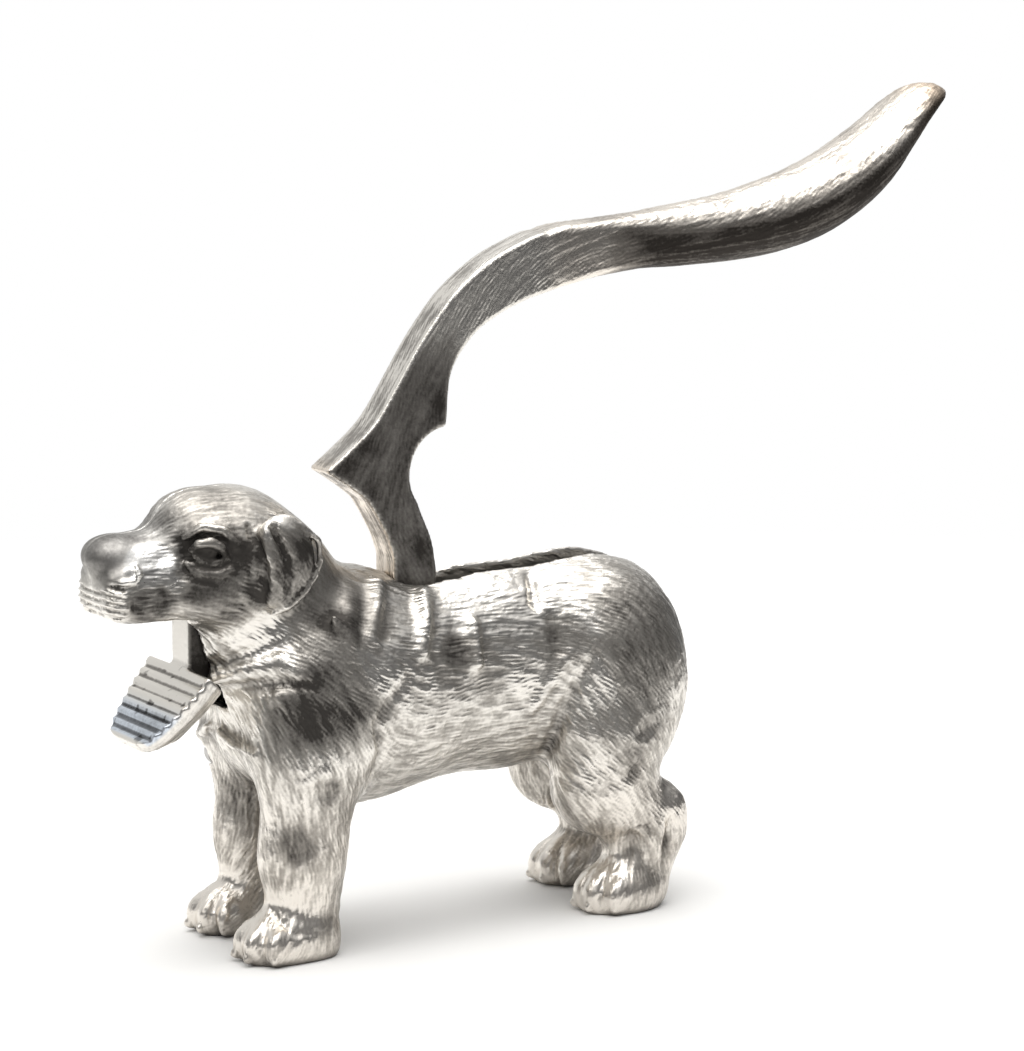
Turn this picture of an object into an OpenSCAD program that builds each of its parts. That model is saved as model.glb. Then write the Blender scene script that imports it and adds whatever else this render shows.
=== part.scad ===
// Lever nutcracker press in the shape of a standing dog.
// Two hollow castings make the dog. A one-piece lever turns on a pin in the throat:
// its long arm is the tail, and its short arm carries the ridged lower jaw.
// X runs from the nose to the tail, Y across the dog, Z up. Sizes are in millimetres.

/* [Stance] */
// Distance between the front and the hind paws
wheelbase = 98.3; // [90:0.1:108]
// Distance from the middle plane to the middle of a paw
stance = 15.4; // [14.8:0.1:17.5]
// How much further back the right front paw stands
front_stagger = 3; // [0:0.5:5]
// How much further back the right hind paw stands
hind_stagger = 5.5; // [0:0.5:7]
// Radius of the upper front leg
front_leg_r = 14; // [12:0.1:15.5]
// Radius of the front ankle
front_ankle_r = 9.2; // [8.4:0.1:10.5]
// Radius of the hind ankle
hind_ankle_r = 10; // [9:0.1:11]
// Length of a paw pad from its middle to the toes
paw_l = 11.5; // [10:0.1:13]
// Height of the top of a paw
paw_h = 13; // [11.5:0.1:14.5]

/* [Body] */
// Height of the middle of the rib cage
rib_z = 62; // [60:0.1:64]
// Half length of the rib cage
rib_l = 37; // [34:0.1:39]
// Half width of the rib cage
rib_w = 23; // [21:0.1:25.5]
// Half height of the rib cage
rib_h = 28.5; // [27:0.1:30]
// Half width of the loin
loin_w = 19.5; // [18:0.1:22]
// Half height of the loin
loin_h = 27.2; // [25.5:0.1:28.5]
// Half width of the hips
hip_w = 22; // [20:0.1:24]
// Half height of the hips
hip_h = 25.5; // [24:0.1:27]
// Wall of the hollow castings
wall = 4.2; // [3.8:0.1:5]

/* [Head] */
// Place of the middle of the skull along the dog
head_x = -3.5; // [-5:0.1:-2]
// Height of the middle of the skull
head_z = 100.5; // [99:0.1:103]
// Half width of the skull
head_w = 17.5; // [16.5:0.1:19]
// Half width of the throat
throat_w = 14.5; // [13.8:0.1:16]
// Half length of the muzzle block
muzzle_l = 12.5; // [11.5:0.1:13.5]
// Half width of the muzzle block
muzzle_w = 11; // [10:0.1:12.5]
// Half height of an ear
ear_h = 12.2; // [11:0.1:13.5]
// Thickness of an ear on the skull
ear_t = 4.2; // [3.8:0.1:5]

/* [Lever] */
// Thickness of the flat part of the lever
blade_t = 10; // [8:0.1:11]
// Angle from the open to the closed jaw
swing = 47.5; // [40:0.5:47.5]
// Radius of the hub round the pivot
hub_r = 11; // [9.5:0.1:12]
// Radius of the notch behind the blade
notch_r = 12; // [10.5:0.1:12.5]
// Half width of the tail's grip
grip_w = 12.5; // [10:0.1:14]

/* [Lower jaw] */
// Length of the ridged plate
plate_l = 23; // [20:0.5:24]
// Width of the ridged plate at its rear
plate_w = 34; // [30:0.5:35]
// Depth of the chin under the plate
chin_h = 7; // [5.5:0.5:8]
// Number of ridges across the plate
ridges = 8; // [6:1:9]

/* [Pins and screws] */
// Radius of the pivot pin
pin_r = 4; // [3.4:0.1:4.6]
// Half length of the pivot pin
pin_half = 10.5; // [9.5:0.1:11.2]
// Radius of a screw's shank
screw_r = 2; // [1.6:0.1:2.3]
// Radius of a screw's head
screw_head_r = 3.6; // [3.2:0.1:4]
// Height of a screw's head
screw_head_h = 2.4; // [2:0.1:3]
// Radius of a dowel
dowel_r = 1.6; // [1.4:0.1:2]
// Half length of a dowel
dowel_half = 5; // [4:0.1:6]

/* [Clearances] */
// Gap between the blade and the slot, each side
slot_gap = 0.7; // [0.6:0.05:1]
// Gap between the blade's edge and the end of its slot
end_gap = 0.5; // [0.4:0.05:0.8]
// Gap round a pin that turns in its bore
running_gap = 0.05; // [0.02:0.01:0.08]
// Gap beside each thrust washer
washer_play = 0.1; // [0.05:0.01:0.2]

/* [Mesh] */
// Spacing of the points that carry the cast skin
cell = 3.6; // [3.4:0.1:3.8]

/* [Hidden] */
LEFT = -1;
RIGHT = 1;
eps = 0.01;
round_fn = 48;

// The pivot, and the swing of the lever about it
skull_over_pivot = 19.5;
pivot = [head_x + 1.2, 0, head_z - skull_over_pivot];
arm_reach = 18.4;
slot_half = blade_t / 2 + slot_gap;
washer_t = slot_gap - washer_play;

// Places on the dog
rib_x = 30;
loin = [0.73 * wheelbase, 0, rib_z + 2.6];
hips = [wheelbase + 1.7, 0, rib_z + 5];
skull = [head_x, 0, head_z];
muzzle = [head_x - 11 - muzzle_l, 0, head_z - 6.5];
nose_x = muzzle.x - muzzle_l - 1.7;
rump_x = hips.x + 27;
tail_tip = pivot.x + 215.9;

// The palate, and the closed place of the notch, where the stop sits
palate_z = muzzle.z - 7;
bite_gap = 0.8;
groove = 1.5;
front_x = 43.9;
slot_front = front_x - end_gap;
notch = [60.8, 35.2];
stop_at = pivot + [closed(notch).x, 0, closed(notch).y];

// Fasteners between the castings
chest_at = [2, 0, rib_z - 15];
hip_at = [hips.x + 4, 0, hips.z - 16];
skull_at = skull + [0, 0, 6.2];
rump_at = [hips.x + 13, 0, hips.z - 8];
screw_end = 13;
screw_seat = 14;
screw_gap = 0.3;
fixed_gap = 0.02;
stop_gap = 0.6;
washer_r = 8;
driver_slot = 0.8;

// ---- Field of the dog: negative inside, in millimetres of depth ----

function clamp01(t) = min(max(t, 0), 1);
function smooth(t, from, to) = let (u = clamp01((t - from) / (to - from))) u * u * (3 - 2 * u);

// Joins two fields with a fillet about as large as k
function blend(a, b, k) =
    let (h = clamp01(0.5 + 0.5 * (b - a) / k)) b + (a - b) * h - k * h * (1 - h);

// An ellipsoid, pitched about Y by tilt degrees
function egg(p, c, r, tilt = 0) =
    let (
        q = p - c,
        x = q.x * cos(tilt) + q.z * sin(tilt),
        z = q.z * cos(tilt) - q.x * sin(tilt),
        a = [x / r.x, q.y / r.y, z / r.z],
        k = norm(a)
    )
    k * (k - 1) / max(norm([a.x / r.x, a.y / r.y, a.z / r.z]), eps / 10);

// A tapered limb from a to b, flattened across the dog
function limb(p, a, ra, b, rb, flat = 1) =
    let (
        d = b - a,
        t = clamp01(((p.x - a.x) * d.x + (p.z - a.z) * d.z) / (d.x * d.x + d.z * d.z)),
        q = p - a - d * t
    )
    (norm([q.x, q.y * flat, q.z]) - ra - (rb - ra) * t) / sqrt(flat);

// A block with rounded edges
function block(p, c, half, r) =
    let (q = [for (i = [0:2]) abs(p[i] - c[i]) - half[i] + r])
    norm([for (v = q) max(v, 0)]) + min(max(q), 0) - r;

function torso(p) =
    let (
        ribs = egg(p, [rib_x, 0, rib_z], [rib_l, rib_w, rib_h]),
        middle = egg(p, loin, [42, loin_w, loin_h]),
        rear = egg(p, hips, [25.5, hip_w, hip_h])
    )
    blend(blend(ribs, middle, 10), rear, 10);

function head(p) =
    let (
        cheek = egg(p, skull + [-6, head_w - 7.9, -7.1], [13.5, 8.3, 8.6], 6),
        lip = egg(p, muzzle + [-0.5, muzzle_w - 4.6, -3.4], [10.5, 5.6, 5.2], -4),
        dome = egg(p, skull, [18.5, head_w, 17]),
        brow = egg(p, skull + [-9.2, 0, 3.5], [12, 13, 13.2]),
        jowl = block(p, muzzle, [muzzle_l, muzzle_w, 7], 5),
        bridge = limb(p, skull + [-12.5, 0, 0.5], 8.2, [muzzle.x - 5, 0, head_z + 0.2], 7.0, 0.85),
        nose = egg(p, [muzzle.x - muzzle_l + 4, 0, head_z + 2], [6, 7.2, 5.1]),
        snout = blend(blend(jowl, bridge, 4), nose, 2)
    )
    blend(blend(blend(blend(dome, brow, 3), snout, 4), cheek, 4), lip, 3);

function front_leg(p) =
    let (
        elbow = [12, stance, 48],
        wrist = [9.5, stance, 26],
        ankle = [9, stance, 10],
        upper = limb(p, elbow, front_leg_r, wrist, front_ankle_r + 1.4, 1.35),
        lower = limb(p, wrist, front_ankle_r + 1.4, ankle, front_ankle_r, 1.3),
        toes = egg(p, [3.5, stance + 0.5, paw_h - 8.5], [paw_l, 9, 8.5]),
        heel = egg(p, [11, stance, paw_h - 9], [8, 8, 9])
    )
    blend(blend(blend(upper, lower, 4), toes, 3), heel, 3);

function hind_leg(p) =
    let (
        knee = [hips.x - 1, stance - 1, 46],
        shin = [hips.x - 3.5, stance, 34],
        hock = [hips.x + 12, stance, 21.5],
        ankle = [hips.x + 7, stance, 8],
        thigh = limb(p, knee, 17, shin, 13, 1.25),
        lower = limb(p, shin, 12.5, hock, 9.5, 1.25),
        foot = limb(p, hock - [3, 0, 3.5], hind_ankle_r + 0.5, ankle, hind_ankle_r - 0.5, 1.35),
        knob = egg(p, hock + [3.2, 0.2, 4.5], [4.6, 5.4, 5]),
        toes = egg(p, [hips.x + 2, stance + 0.5, paw_h - 8.5], [paw_l + 1, 9.5, 8.5])
    )
    blend(blend(blend(blend(thigh, lower, 4), foot, 4), knob, 4), toes, 3);

// The whole skin; the legs of the right side stand a little further back
function dog(x, y, z, side) =
    let (
        p = [x, abs(y), z],
        reach = side == RIGHT ? smooth(z, 60, 34) * smooth(abs(y), 0, 12) : 0,
        step = x < wheelbase / 2 ? front_stagger : hind_stagger,
        leg_p = [x - step * reach, abs(y), z],
        neck = limb(p, [24, 0, rib_z + 6], rib_w, [head_x + 7.5, 0, head_z - 10.5], head_w - 1.5, 1.05),
        throat = egg(p, [head_x + 1, 0, head_z - 22], [11, throat_w, 16], 20),
        nape = egg(p, [head_x + 12.5, 0, head_z - 4.5], [14.3, head_w - 2.5, 12.2]),
        withers = egg(p, [rib_x - 1, 0, rib_z + 19], [16, 12, 12.2]),
        trunk = blend(blend(blend(blend(torso(p), neck, 10), throat, 5), withers, 6), nape, 7),
        front = blend(egg(p, [14, rib_w / 2 + 1, rib_z - 2], [17, 11.5, 23]), front_leg(leg_p), 6),
        blade = egg(p, [18, rib_w - 4.6, rib_z + 5], [12.5, 4.8, 14], -12),
        shoulder = egg(p, [17, rib_w - 3.8, rib_z - 8], [9.5, 5, 12], -6),
        rear = blend(egg(p, [hips.x + 4, hip_w / 2, hips.z - 5], [19, 13, 25], 12), hind_leg(leg_p), 6),
        haunch = egg(p, [hips.x + 3.5, hip_w - 3.1, hips.z - 7], [15.5, 6.6, 18], 16),
        ear = egg(p, skull + [7, head_w, -0.5], [8.5, ear_t, ear_h]),
        upper = blend(blend(trunk, head(p), 6), ear, 1.5),
        muscles = blend(blend(blade, shoulder, 4), haunch, 4)
    )
    blend(blend(blend(upper, front, 6), rear, 6), muscles, 4);

// ---- Skin: one point in each grid cell that the surface crosses ----

CORNERS = [for (i = [0, 1], j = [0, 1], k = [0, 1]) [i, j, k]];
EDGES = [[0, 1], [2, 3], [4, 5], [6, 7], [0, 2], [1, 3], [4, 6], [5, 7], [0, 4], [1, 5], [2, 6], [3, 7]];
grid_lo = [nose_x - 2 * cell, -(rib_w + 3 * cell), -2.5 * cell];
grid_hi = [rump_x + 2 * cell, 3 * cell, head_z + 17 + 3 * cell];
count = [for (i = [0:2]) ceil((grid_hi[i] - grid_lo[i]) / cell)];

// Field values at the grid points of one side; the dog's own side has negative y
function samples(side) =
    [for (i = [0:count.x]) let (x = grid_lo.x + i * cell)
        [for (j = [0:count.y]) let (y = grid_lo.y + j * cell)
            [for (k = [0:count.z]) max(dog(x, y, grid_lo.z + k * cell, side), y - 1.5 * cell)]]];

function cell_values(v, i, j, k) =
    [v[i][j][k], v[i][j][k + 1], v[i][j + 1][k], v[i][j + 1][k + 1],
     v[i + 1][j][k], v[i + 1][j][k + 1], v[i + 1][j + 1][k], v[i + 1][j + 1][k + 1]];

function total(list, i = 0, sum = [0, 0, 0]) = i == len(list) ? sum : total(list, i + 1, sum + list[i]);

// Middle of the places where the surface crosses the cell's edges
function cell_point(i, j, k, c, level) =
    let (
        cuts = [for (e = EDGES) let (a = c[e[0]] - level, b = c[e[1]] - level)
            if ((a < 0) != (b < 0)) CORNERS[e[0]] + (CORNERS[e[1]] - CORNERS[e[0]]) * a / (a - b)]
    )
    grid_lo + cell * ([i, j, k] + total(cuts) / len(cuts));

// The closed surface where the field has the given level
module skin(v, level) {
    cells = [for (i = [0:count.x - 1], j = [0:count.y - 1], k = [0:count.z - 1])
        let (c = cell_values(v, i, j, k)) min(c) < level && max(c) >= level ? [i, j, k, c] : 0];
    ids = [for (n = 0, id = 0; n < len(cells); id = id + (cells[n] == 0 ? 0 : 1), n = n + 1) id];
    function at(i, j, k) = ids[(i * count.y + j) * count.z + k];
    function quad(in, next, a, b, c, d) =
        in == next ? [] : in ? [[a, c, b], [a, d, c]] : [[a, b, c], [a, c, d]];
    points = [for (n = cells) if (n != 0) cell_point(n[0], n[1], n[2], n[3], level)];
    faces = [for (n = cells) if (n != 0)
        let (i = n[0], j = n[1], k = n[2], c = n[3], in = c[0] < level)
        each concat(
            quad(in, c[4] < level, at(i, j, k), at(i, j - 1, k), at(i, j - 1, k - 1), at(i, j, k - 1)),
            quad(in, c[2] < level, at(i, j, k), at(i, j, k - 1), at(i - 1, j, k - 1), at(i - 1, j, k)),
            quad(in, c[1] < level, at(i, j, k), at(i - 1, j, k), at(i - 1, j - 1, k), at(i, j - 1, k))
        )];
    polyhedron(points, faces, convexity = 10);
}

// ---- Lever: outline of its flat part, and sections of its tail ----

// Points along a smooth curve through the given points
function curve(pts, steps = 4) =
    let (last = len(pts) - 1)
    [for (i = [0:last - 1], s = [0:steps - 1])
        let (
            a = pts[max(i - 1, 0)], b = pts[i], c = pts[i + 1], d = pts[min(i + 2, last)],
            t = s / steps
        )
        b + 0.5 * t * (c - a + t * (2 * a - 5 * b + 4 * c - d + t * (3 * (b - c) + d - a))),
     pts[last]];

function arc(centre, r, from, to, steps = 12) =
    [for (s = [0:steps]) let (t = from + (to - from) * s / steps) centre + r * [cos(t), sin(t)]];

// Where a point of the lever goes when the lever turns towards closed
function closed(p) = [p.x * cos(swing) + p.y * sin(swing), p.y * cos(swing) - p.x * sin(swing)];

// These points lie in the plane of the blade, measured from the pivot, with the jaw open
crest = [
    [25, 38], [32, 43.3], [39.2, 49.6], [45.8, 59.2], [51.5, 68], [57, 75.2],
    [63, 81.6], [73, 88.7], [84, 93.4], [88.5, 94.5],
];
inside = [
    [92.5, 80.2], [83.6, 77.8], [74.8, 74.4], [68.9, 70.9], [64.6, 66.7],
    [61.7, 62.5], [60.4, 58.8], [59.8, 53.8],
];
rear = [
    [52.2, 25.2], [53.6, 22], [55, 18.4], [55.9, 13.8], [56.3, 7.5],
    [53, -1], [44, -7], [30, -10], [15, -10.5],
];
front = [
    [25, 38], [31, 34.1], [36.4, 30], [39.6, 24.9], [42.1, 20.2], [front_x, 15],
    [front_x, 8], [42.5, 6.4], [30, 6],
];
arm = [[-8, 10], [-12, 7.6], [-13.6, 4.5], [-13.6, -6.5], [-13.2, -9.5], [-13, -14], [-9.5, -14], [-4, -10]];

// Tail sections: crown, keel, half width and squareness (2 is an ellipse). The widest of
// them sets the scale of the others, so grip_w changes them all.
drawn_w = 12.5;
tail = [
    [[83.3, 91.6], [86.3, 80.4], 4.2, 8],
    [[90.8, 95.3], [92.8, 80.1], 5.3, 8],
    [[102.3, 96.5], [103.8, 82], 5.5, 6],
    [[115.3, 97.6], [117.3, 83.4], 6.2, 3.5],
    [[128.3, 99.2], [131.3, 83.3], 7.8, 2.5],
    [[142.3, 101.1], [146.3, 83.8], 9.4, 2.1],
    [[154.4, 103.8], [160.3, 85.2], 10.8, 2],
    [[166.7, 107.2], [173.3, 88.6], 12, 2],
    [[177.9, 111.8], [184.3, 94], 12.5, 2],
    [[189.1, 117.9], [193.8, 101.5], 12.3, 2],
    [[197.8, 123.7], [200.6, 109.8], 11, 2],
    [[204.2, 127.4], [206.4, 116.4], 9, 2],
    [[210, 128.2], [211, 121], 6.5, 2],
    [[213.6, 127], [214, 123.2], 3.5, 2],
    [[215.9, 125.9], [215.9, 125], 0.8, 2],
];
section_points = 24;

// A point of a section, as a share of its half width and half height
function section_point(t, square) =
    [sign(cos(t)) * pow(abs(cos(t)), 2 / square), sign(sin(t)) * pow(abs(sin(t)), 2 / square)];

module tail_bar() {
    crowns = curve([for (s = tail) s[0]], 3);
    keels = curve([for (s = tail) s[1]], 3);
    widths = curve([for (s = tail) [s[2], s[3]]], 3);
    rings = len(crowns);
    points = [for (n = [0:rings - 1], k = [0:section_points - 1])
        let (
            q = section_point(360 * (k + 0.5) / section_points, widths[n].y),
            mid = (crowns[n] + keels[n]) / 2 + (crowns[n] - keels[n]) / 2 * q.y
        )
        [mid.x, widths[n].x * grip_w / drawn_w * q.x, mid.y]];
    ring_faces = [for (n = [0:rings - 2], k = [0:section_points - 1])
        let (a = n * section_points, b = a + section_points, m = (k + 1) % section_points)
        each [[a + k, b + m, a + m], [a + k, b + k, b + m]]];
    ends = [
        [for (k = [0:section_points - 1]) k],
        [for (k = [section_points - 1:-1:0]) (rings - 1) * section_points + k],
    ];
    polyhedron(points, concat(ring_faces, ends), convexity = 6);
}

module blade_outline() {
    circle(r = hub_r, $fn = round_fn);
    polygon(concat(
        curve(crest), curve(inside), arc(notch, notch_r, 97, 215), curve(rear),
        [[0, -hub_r], [0, hub_r], [10, 9]], [for (i = [len(front) - 1:-1:1]) front[i]]
    ));
    polygon(concat([[0, hub_r]], arm, [[0, -hub_r]]));
}

// The lower jaw lies in its closed place: flat, under the palate
plate_top = palate_z - bite_gap - pivot.z;
plate_rear = -15.1;

module jaw_outline(inset = 0) {
    half = plate_w / 2 - inset;
    tip = plate_rear - plate_l + inset;
    side = [[plate_rear, half], [plate_rear - 7, half - 0.6], [plate_rear - 15, half - 3],
        [tip + 3, half - 5.4], [tip + 0.8, half - 8], [tip, half - 12]];
    rim = curve(side);
    polygon(concat(rim, [for (i = [len(rim) - 1:-1:0]) [rim[i].x, -rim[i].y]]));
}

module lower_jaw() {
    pitch = plate_l / ridges;
    difference() {
        hull() {
            translate([0, 0, plate_top - chin_h / 2]) linear_extrude(chin_h / 2) jaw_outline();
            translate([0, 0, plate_top - chin_h]) linear_extrude(1) jaw_outline(3.5);
        }
        for (i = [1:ridges - 1]) translate([plate_rear - i * pitch, 0, plate_top]) rotate([0, 45, 0])
            cube([groove, plate_w + 2, groove], center = true);
    }
}

// Joins its children into the skin of one casting
module casting() { resize([0, 0, 0]) union() children(); }

// A straight round bar along Y, at a place in the plane of the blade
module bar(place, r, from, to) {
    translate([place.x, from, place.z]) rotate([-90, 0, 0]) cylinder(r = r, h = to - from, $fn = round_fn);
}

module tail_lever() {
    color("silver") difference() {
        casting() {
            translate(pivot) {
                rotate([90, 0, 0]) linear_extrude(blade_t, center = true) blade_outline();
                tail_bar();
                rotate([0, -swing, 0]) lower_jaw();
            }
        }
        bar(pivot, pin_r + running_gap, -blade_t, blade_t);
    }
}

// ---- The two castings ----

// Side view of the room that the lever needs between the castings, from the pivot
module lever_room() {
    circle(r = arm_reach + end_gap, $fn = 96);
    polygon([
        [0, 13], [12, 11], [30, 8.2], [slot_front, 8.2], [slot_front, 60], [150, 60],
        [150, -38], [132.3, -23], [112.3, -12], [75, -12], [40, -30], [20, -20],
    ]);
}

// Posts inside the hollow castings: place, radius and where the post starts
POSTS = [
    [pivot, 8, slot_half],
    [stop_at, 7, slot_half],
    [chest_at, 6, 0],
    [hip_at, 6, 0],
    [skull_at, 4.2, 0],
    [rump_at, 4.5, 0],
];

// The paws, the lower legs and the muzzle are solid: metal up to this X and Z
module solid_part(to) {
    translate([grid_lo.x, grid_lo.y, -cell])
        cube([to.x - grid_lo.x, 3 * cell - grid_lo.y, to.y + cell]);
}

// One casting, on the side with negative Y
module half(side) {
    v = samples(side);
    difference() {
        casting() intersection() {
            difference() {
                skin(v, 0);
                difference() {
                    skin(v, -wall);
                    solid_part([grid_hi.x, rib_z - 22]);
                    solid_part([head_x - 10.5, grid_hi.z]);
                    for (post = POSTS) bar(post[0], post[1], grid_lo.y, -post[2]);
                }
                translate(pivot) rotate([90, 0, 0])
                    linear_extrude(2 * slot_half, center = true) lever_room();
                translate([grid_lo.x, grid_lo.y, palate_z - 8])
                    cube([pivot.x + plate_rear + end_gap - grid_lo.x, cell - grid_lo.y, 8]);
            }
            translate([grid_lo.x, grid_lo.y, 0]) cube([grid_hi.x - grid_lo.x, -grid_lo.y, grid_hi.z]);
        }
        bar(pivot, pin_r + fixed_gap, -pin_half, 1);
        for (place = [skull_at, rump_at]) bar(place, dowel_r + fixed_gap, -dowel_half, 1);
        for (place = [stop_at, chest_at, hip_at]) {
            if (side == LEFT) bar(place, screw_r + fixed_gap, -screw_end, 1);
            else {
                bar(place, screw_r + screw_gap, -screw_seat - 1, 1);
                bar(place, screw_head_r + screw_gap, grid_lo.y, -screw_seat);
            }
        }
    }
}

module left_body() { color("silver") half(LEFT); }
module right_body() { color("silver") mirror([0, 1, 0]) half(RIGHT); }

// ---- Pins, washers and screws ----

module pivot_pin() { color("gainsboro") bar(pivot, pin_r, -pin_half, pin_half); }

module washer() {
    difference() {
        bar(pivot, washer_r, slot_half - washer_t, slot_half);
        bar(pivot, pin_r + running_gap, 0, slot_half + 1);
    }
}
module left_washer() { color("tan") mirror([0, 1, 0]) washer(); }
module right_washer() { color("tan") washer(); }

module stop_sleeve() {
    color("gainsboro") difference() {
        bar(stop_at, notch_r - stop_gap, -slot_half, slot_half);
        bar(stop_at, screw_r + screw_gap, -slot_half - 1, slot_half + 1);
    }
}

module screw(place) {
    color("gainsboro") difference() {
        union() {
            bar(place, screw_r, -screw_end, screw_seat);
            bar(place, screw_head_r, screw_seat, screw_seat + screw_head_h);
        }
        translate([place.x, screw_seat + screw_head_h, place.z])
            cube([driver_slot, screw_head_h, 3 * screw_head_r], center = true);
    }
}
module stop_screw() { screw(stop_at); }
module chest_screw() { screw(chest_at); }
module hip_screw() { screw(hip_at); }

module dowel(place) { color("gainsboro") bar(place, dowel_r, -dowel_half, dowel_half); }
module skull_dowel() { dowel(skull_at); }
module rump_dowel() { dowel(rump_at); }

translate([-(nose_x + tail_tip) / 2, 0, 0]) {
    left_body();
    right_body();
    tail_lever();
    pivot_pin();
    left_washer();
    right_washer();
    stop_sleeve();
    stop_screw();
    chest_screw();
    hip_screw();
    skull_dowel();
    rump_dowel();
}
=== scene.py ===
"""Looks of the lever nutcracker press: two sculpted castings, a brushed lever, and their finishes."""

import math

import bmesh
import bpy
import numpy as np
import openvdb
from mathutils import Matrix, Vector


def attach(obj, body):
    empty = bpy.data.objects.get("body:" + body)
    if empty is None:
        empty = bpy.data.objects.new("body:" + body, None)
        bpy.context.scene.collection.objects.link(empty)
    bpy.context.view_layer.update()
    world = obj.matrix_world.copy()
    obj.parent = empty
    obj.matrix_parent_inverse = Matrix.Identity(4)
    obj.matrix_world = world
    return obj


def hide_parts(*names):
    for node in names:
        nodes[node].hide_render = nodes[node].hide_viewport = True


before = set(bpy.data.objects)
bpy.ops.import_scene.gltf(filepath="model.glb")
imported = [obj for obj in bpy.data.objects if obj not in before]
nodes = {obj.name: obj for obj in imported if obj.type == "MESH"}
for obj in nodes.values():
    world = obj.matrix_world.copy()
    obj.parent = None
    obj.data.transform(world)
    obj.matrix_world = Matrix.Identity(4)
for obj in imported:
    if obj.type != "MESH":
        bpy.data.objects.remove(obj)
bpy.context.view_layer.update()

# The shared frame is the sculpting frame moved back along X; both values are in metres
SHIFT = 0.0862
MM = 0.001
VOXEL = 0.6
SEED = 11
rng = np.random.default_rng(SEED)

# ---- Field of the dog ----
# Millimetres, with X zero between the front paws. A field is negative inside the metal.

LEFT, RIGHT = -1, 1
WHEELBASE = 98.3
STANCE = 15.4
STAGGER = {LEFT: (0.0, 0.0), RIGHT: (3.0, 5.5)}
WALL = 4.2
SLOT_HALF = 5.7
SKULL = np.array([-3.5, 0.0, 100.5])
MUZZLE = np.array([-27.0, 0.0, 94.0])
PALATE_Z = 87.0
PIVOT = np.array([-2.3, 0.0, 81.0])
HIPS = np.array([100.0, 0.0, 67.0])


def ramp(t, start, stop):
    u = np.clip((t - start) / (stop - start), 0, 1)
    return u * u * (3 - 2 * u)


def blend(a, b, k):
    """Union of two fields with a fillet about as large as k."""
    h = np.clip(0.5 + 0.5 * (b - a) / k, 0, 1)
    return b + (a - b) * h - k * h * (1 - h)


def carve(a, b, k):
    """The first field with the second cut out of it, and a rounded edge."""
    return -blend(-a, b, k)


def egg(p, c, r, pitch=0.0, yaw=0.0, roll=0.0):
    """Ellipsoid; pitch turns it about Y, yaw about Z and roll about X, in degrees."""
    x, y, z = p[0] - c[0], p[1] - c[1], p[2] - c[2]
    if yaw:
        s, t = np.sin(np.radians(yaw)), np.cos(np.radians(yaw))
        x, y = x * t + y * s, y * t - x * s
    if pitch:
        s, t = np.sin(np.radians(pitch)), np.cos(np.radians(pitch))
        x, z = x * t + z * s, z * t - x * s
    if roll:
        s, t = np.sin(np.radians(roll)), np.cos(np.radians(roll))
        y, z = y * t + z * s, z * t - y * s
    x, y, z = x / r[0], y / r[1], z / r[2]
    k = np.sqrt(x * x + y * y + z * z)
    slope = np.sqrt((x / r[0]) ** 2 + (y / r[1]) ** 2 + (z / r[2]) ** 2)
    return k * (k - 1) / np.maximum(slope, 1e-4)


def limb(p, a, ra, b, rb, flat=1.0):
    """Tapered limb from a to b, flattened across the dog."""
    dx, dy, dz = b[0] - a[0], b[1] - a[1], b[2] - a[2]
    t = np.clip(((p[0] - a[0]) * dx + (p[2] - a[2]) * dz) / (dx * dx + dz * dz), 0, 1)
    x, y, z = p[0] - a[0] - dx * t, (p[1] - a[1] - dy * t) * flat, p[2] - a[2] - dz * t
    return (np.sqrt(x * x + y * y + z * z) - ra - (rb - ra) * t) / np.sqrt(flat)


def block(p, c, half, r):
    q = [np.abs(p[i] - c[i]) - half[i] + r for i in range(3)]
    out = np.sqrt(np.maximum(q[0], 0) ** 2 + np.maximum(q[1], 0) ** 2 + np.maximum(q[2], 0) ** 2)
    return out + np.minimum(np.maximum(np.maximum(q[0], q[1]), q[2]), 0) - r


def cord(p, points, radii):
    """A round bead along a few points, used for folds, lids, veins and creases."""
    best = None
    for (a, ra), (b, rb) in zip(zip(points, radii), zip(points[1:], radii[1:])):
        a, b = np.array(a, float), np.array(b, float)
        d = b - a
        t = ((p[0] - a[0]) * d[0] + (p[1] - a[1]) * d[1] + (p[2] - a[2]) * d[2]) / (d @ d)
        t = np.clip(t, 0, 1)
        x, y, z = (p[i] - a[i] - d[i] * t for i in range(3))
        one = np.sqrt(x * x + y * y + z * z) - ra - (rb - ra) * t
        best = one if best is None else np.minimum(best, one)
    return best


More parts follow.
